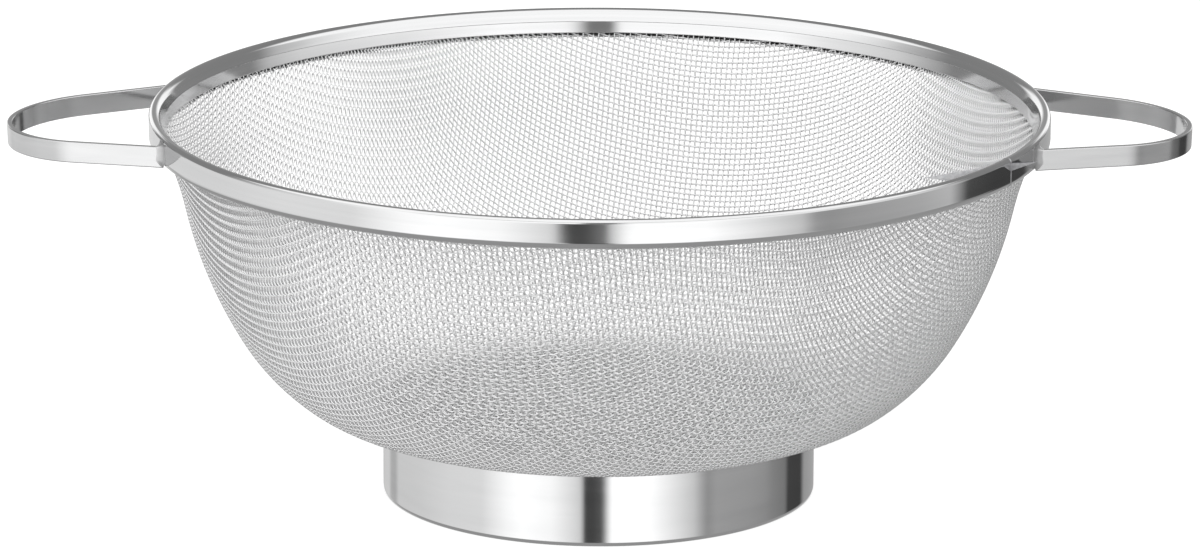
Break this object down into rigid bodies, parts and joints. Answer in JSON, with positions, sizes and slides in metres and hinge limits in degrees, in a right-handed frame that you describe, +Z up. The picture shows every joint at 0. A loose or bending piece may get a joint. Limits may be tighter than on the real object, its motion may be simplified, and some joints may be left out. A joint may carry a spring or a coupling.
{
  "type": "mesh strainer",
  "caption": "Footed mesh strainer: a deep round woven-wire bowl with a folded rim band, a flat-bar loop handle at each side and a ring foot, for rinsing and draining food.",
  "frame": {"origin": "centre of the circle that the foot stands on", "axes": "+Z up, +X towards the right handle, with both handles along X"},
  "size_m": [0.3158, 0.2398, 0.1044],
  "materials": {
    "polished_steel": "polished stainless steel",
    "wire_mesh": "bright drawn stainless wire, plain weave",
    "core_wire": "drawn stainless wire",
    "weld": "cleaned weld metal"
  },
  "bodies": {
    "root": {"mesh_bowl": "wire_mesh", "foot_ring": "polished_steel", "foot_spot_weld_1": "weld", "foot_spot_weld_2": "weld", "foot_spot_weld_3": "weld", "foot_spot_weld_4": "weld", "foot_spot_weld_5": "weld", "foot_spot_weld_6": "weld", "foot_spot_weld_7": "weld", "foot_spot_weld_8": "weld", "foot_spot_weld_9": "weld", "foot_spot_weld_10": "weld", "foot_spot_weld_11": "weld", "foot_spot_weld_12": "weld", "rim_band": "polished_steel", "rim_seam_weld": "weld", "rim_core_wire": "core_wire", "handle_left": "polished_steel", "handle_right": "polished_steel", "handle_weld_left_front": "weld", "handle_weld_left_rear": "weld", "handle_weld_right_front": "weld", "handle_weld_right_rear": "weld"}
  },
  "joints": []
}
